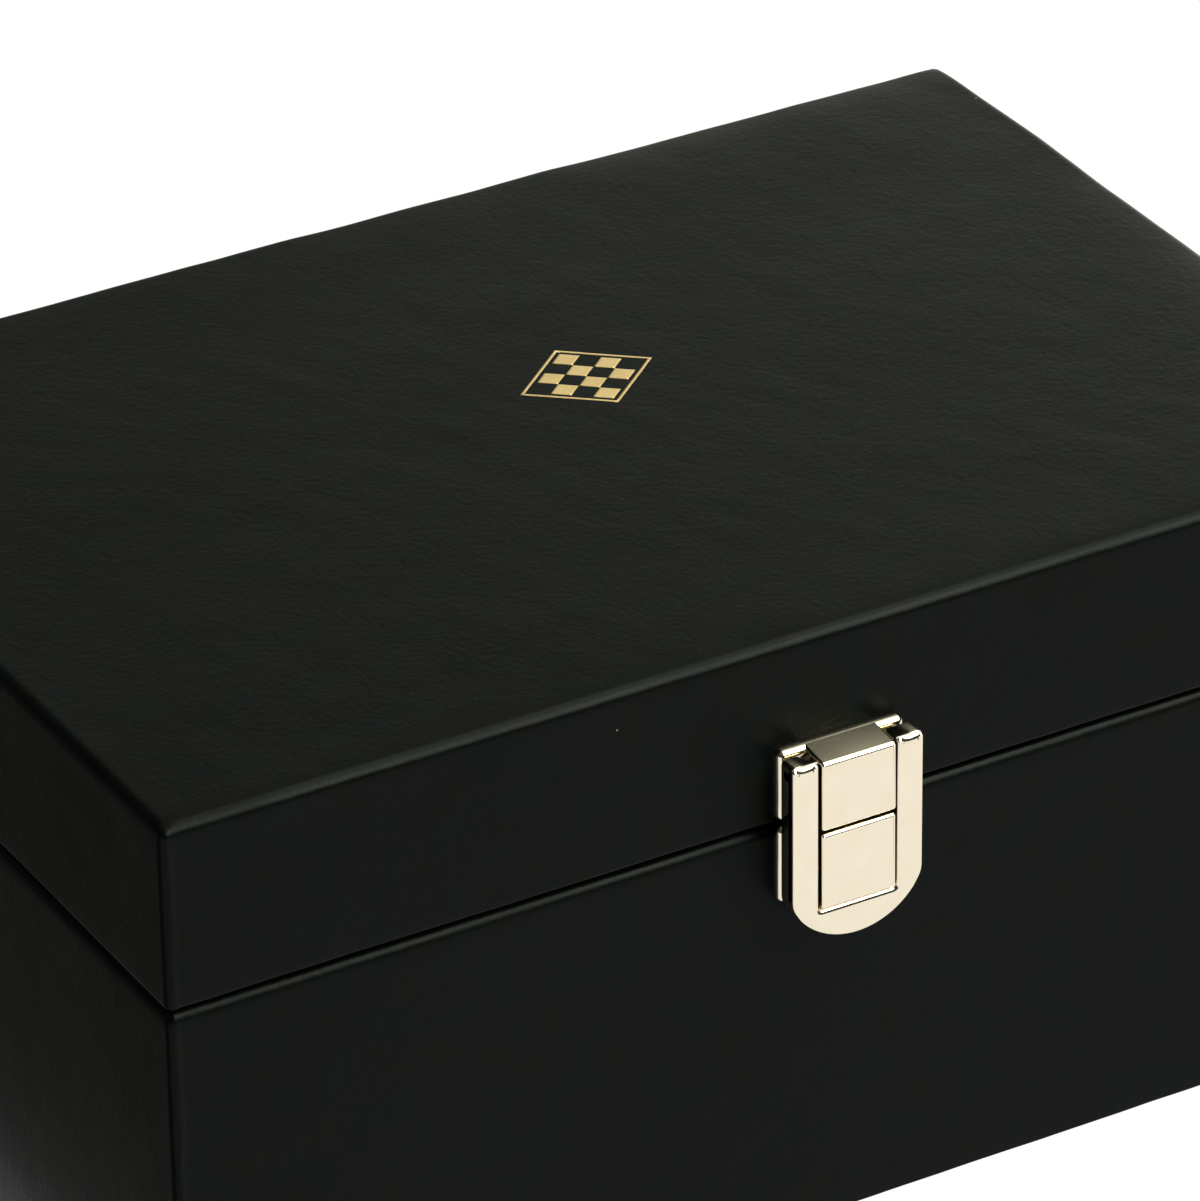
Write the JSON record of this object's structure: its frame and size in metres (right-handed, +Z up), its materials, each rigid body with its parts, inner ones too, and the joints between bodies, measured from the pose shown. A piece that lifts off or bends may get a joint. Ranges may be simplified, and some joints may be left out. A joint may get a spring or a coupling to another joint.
{
  "type": "chess piece storage box",
  "caption": "Leatherette-covered storage box for chess pieces, with a back-hinged lid, a metal snap catch, fixed slots below and a lift-out slotted tray above.",
  "frame": {"origin": "middle of the case's underside, on the surface that the box stands on", "axes": "+X to the right of someone facing the catch, +Y to the back, where the hinges are, +Z up"},
  "size_m": [0.295, 0.2145, 0.136],
  "materials": {
    "leatherette": "black PVC leatherette with a fine pebbled grain, soft sheen",
    "gold_foil": "hot-stamped gold foil, satin",
    "foam": "thin sheet foam",
    "ribbon": "woven satin ribbon",
    "foot_felt": "black felt paper",
    "velvet_lining": "dark red velour on card",
    "velvet_board": "greyboard covered in dark red velour",
    "fibreboard": "plain medium-density fibreboard",
    "plated_zinc": "polished champagne nickel-gold plate on zinc",
    "steel": "drawn steel",
    "plated_fastener": "brass-plated small fastener",
    "plated_steel_leaf": "stamped leaf with champagne plate"
  },
  "bodies": {
    "base": {"base_back_board": "fibreboard", "base_bottom_board": "fibreboard", "base_floor_lining": "velvet_lining", "base_foot_sheet": "foot_felt", "base_front_board": "fibreboard", "base_hinge_screws": "plated_fastener", "base_leatherette": "leatherette", "base_left_board": "fibreboard", "base_right_board": "fibreboard", "base_wall_lining": "velvet_lining", "latch_lower_nails": "plated_fastener", "latch_lower_plate": "plated_zinc", "left_hinge_base_leaf": "plated_steel_leaf", "left_hinge_pin": "steel", "lower_long_divider": "velvet_board", "lower_pawn_dividers": "velvet_board", "lower_piece_dividers": "velvet_board", "right_hinge_base_leaf": "plated_steel_leaf", "right_hinge_pin": "steel"},
    "lid": {"latch_pin": "steel", "latch_upper_nails": "plated_fastener", "latch_upper_plate": "plated_zinc", "left_hinge_lid_leaf": "plated_steel_leaf", "lid_back_board": "fibreboard", "lid_foam_pad": "foam", "lid_foil_lozenge": "gold_foil", "lid_front_board": "fibreboard", "lid_hinge_screws": "plated_fastener", "lid_leatherette": "leatherette", "lid_left_board": "fibreboard", "lid_lining_pad": "velvet_lining", "lid_right_board": "fibreboard", "lid_top_board": "fibreboard", "lid_wall_lining": "velvet_lining", "right_hinge_lid_leaf": "plated_steel_leaf"},
    "flap": {"latch_flap": "plated_zinc", "latch_snap_spring": "steel", "latch_spring_rivets": "plated_fastener"},
    "tray": {"tray_back_wall": "velvet_board", "tray_floor_board": "velvet_board", "tray_floor_lining": "velvet_lining", "tray_front_wall": "velvet_board", "tray_left_ribbon": "ribbon", "tray_left_wall": "velvet_board", "tray_long_divider": "velvet_board", "tray_pawn_dividers": "velvet_board", "tray_piece_dividers": "velvet_board", "tray_right_ribbon": "ribbon", "tray_right_wall": "velvet_board"}
  },
  "joints": [
    {"name": "lid_hinge", "type": "hinge", "parent": "base", "child": "lid", "pos_m": [0, 0.1022, 0.0956], "axis": [-1, 0, 0], "range_deg": [0, 95], "deforming": ["latch_snap_spring"]},
    {"name": "flap_hinge", "type": "hinge", "parent": "lid", "child": "flap", "pos_m": [0, -0.1052, 0.1091], "axis": [-1, 0, 0], "range_deg": [0, 170]},
    {"name": "tray_lift", "type": "slide", "parent": "base", "child": "tray", "axis": [0, 0, 1], "range_m": [0, 0.021]}
  ]
}
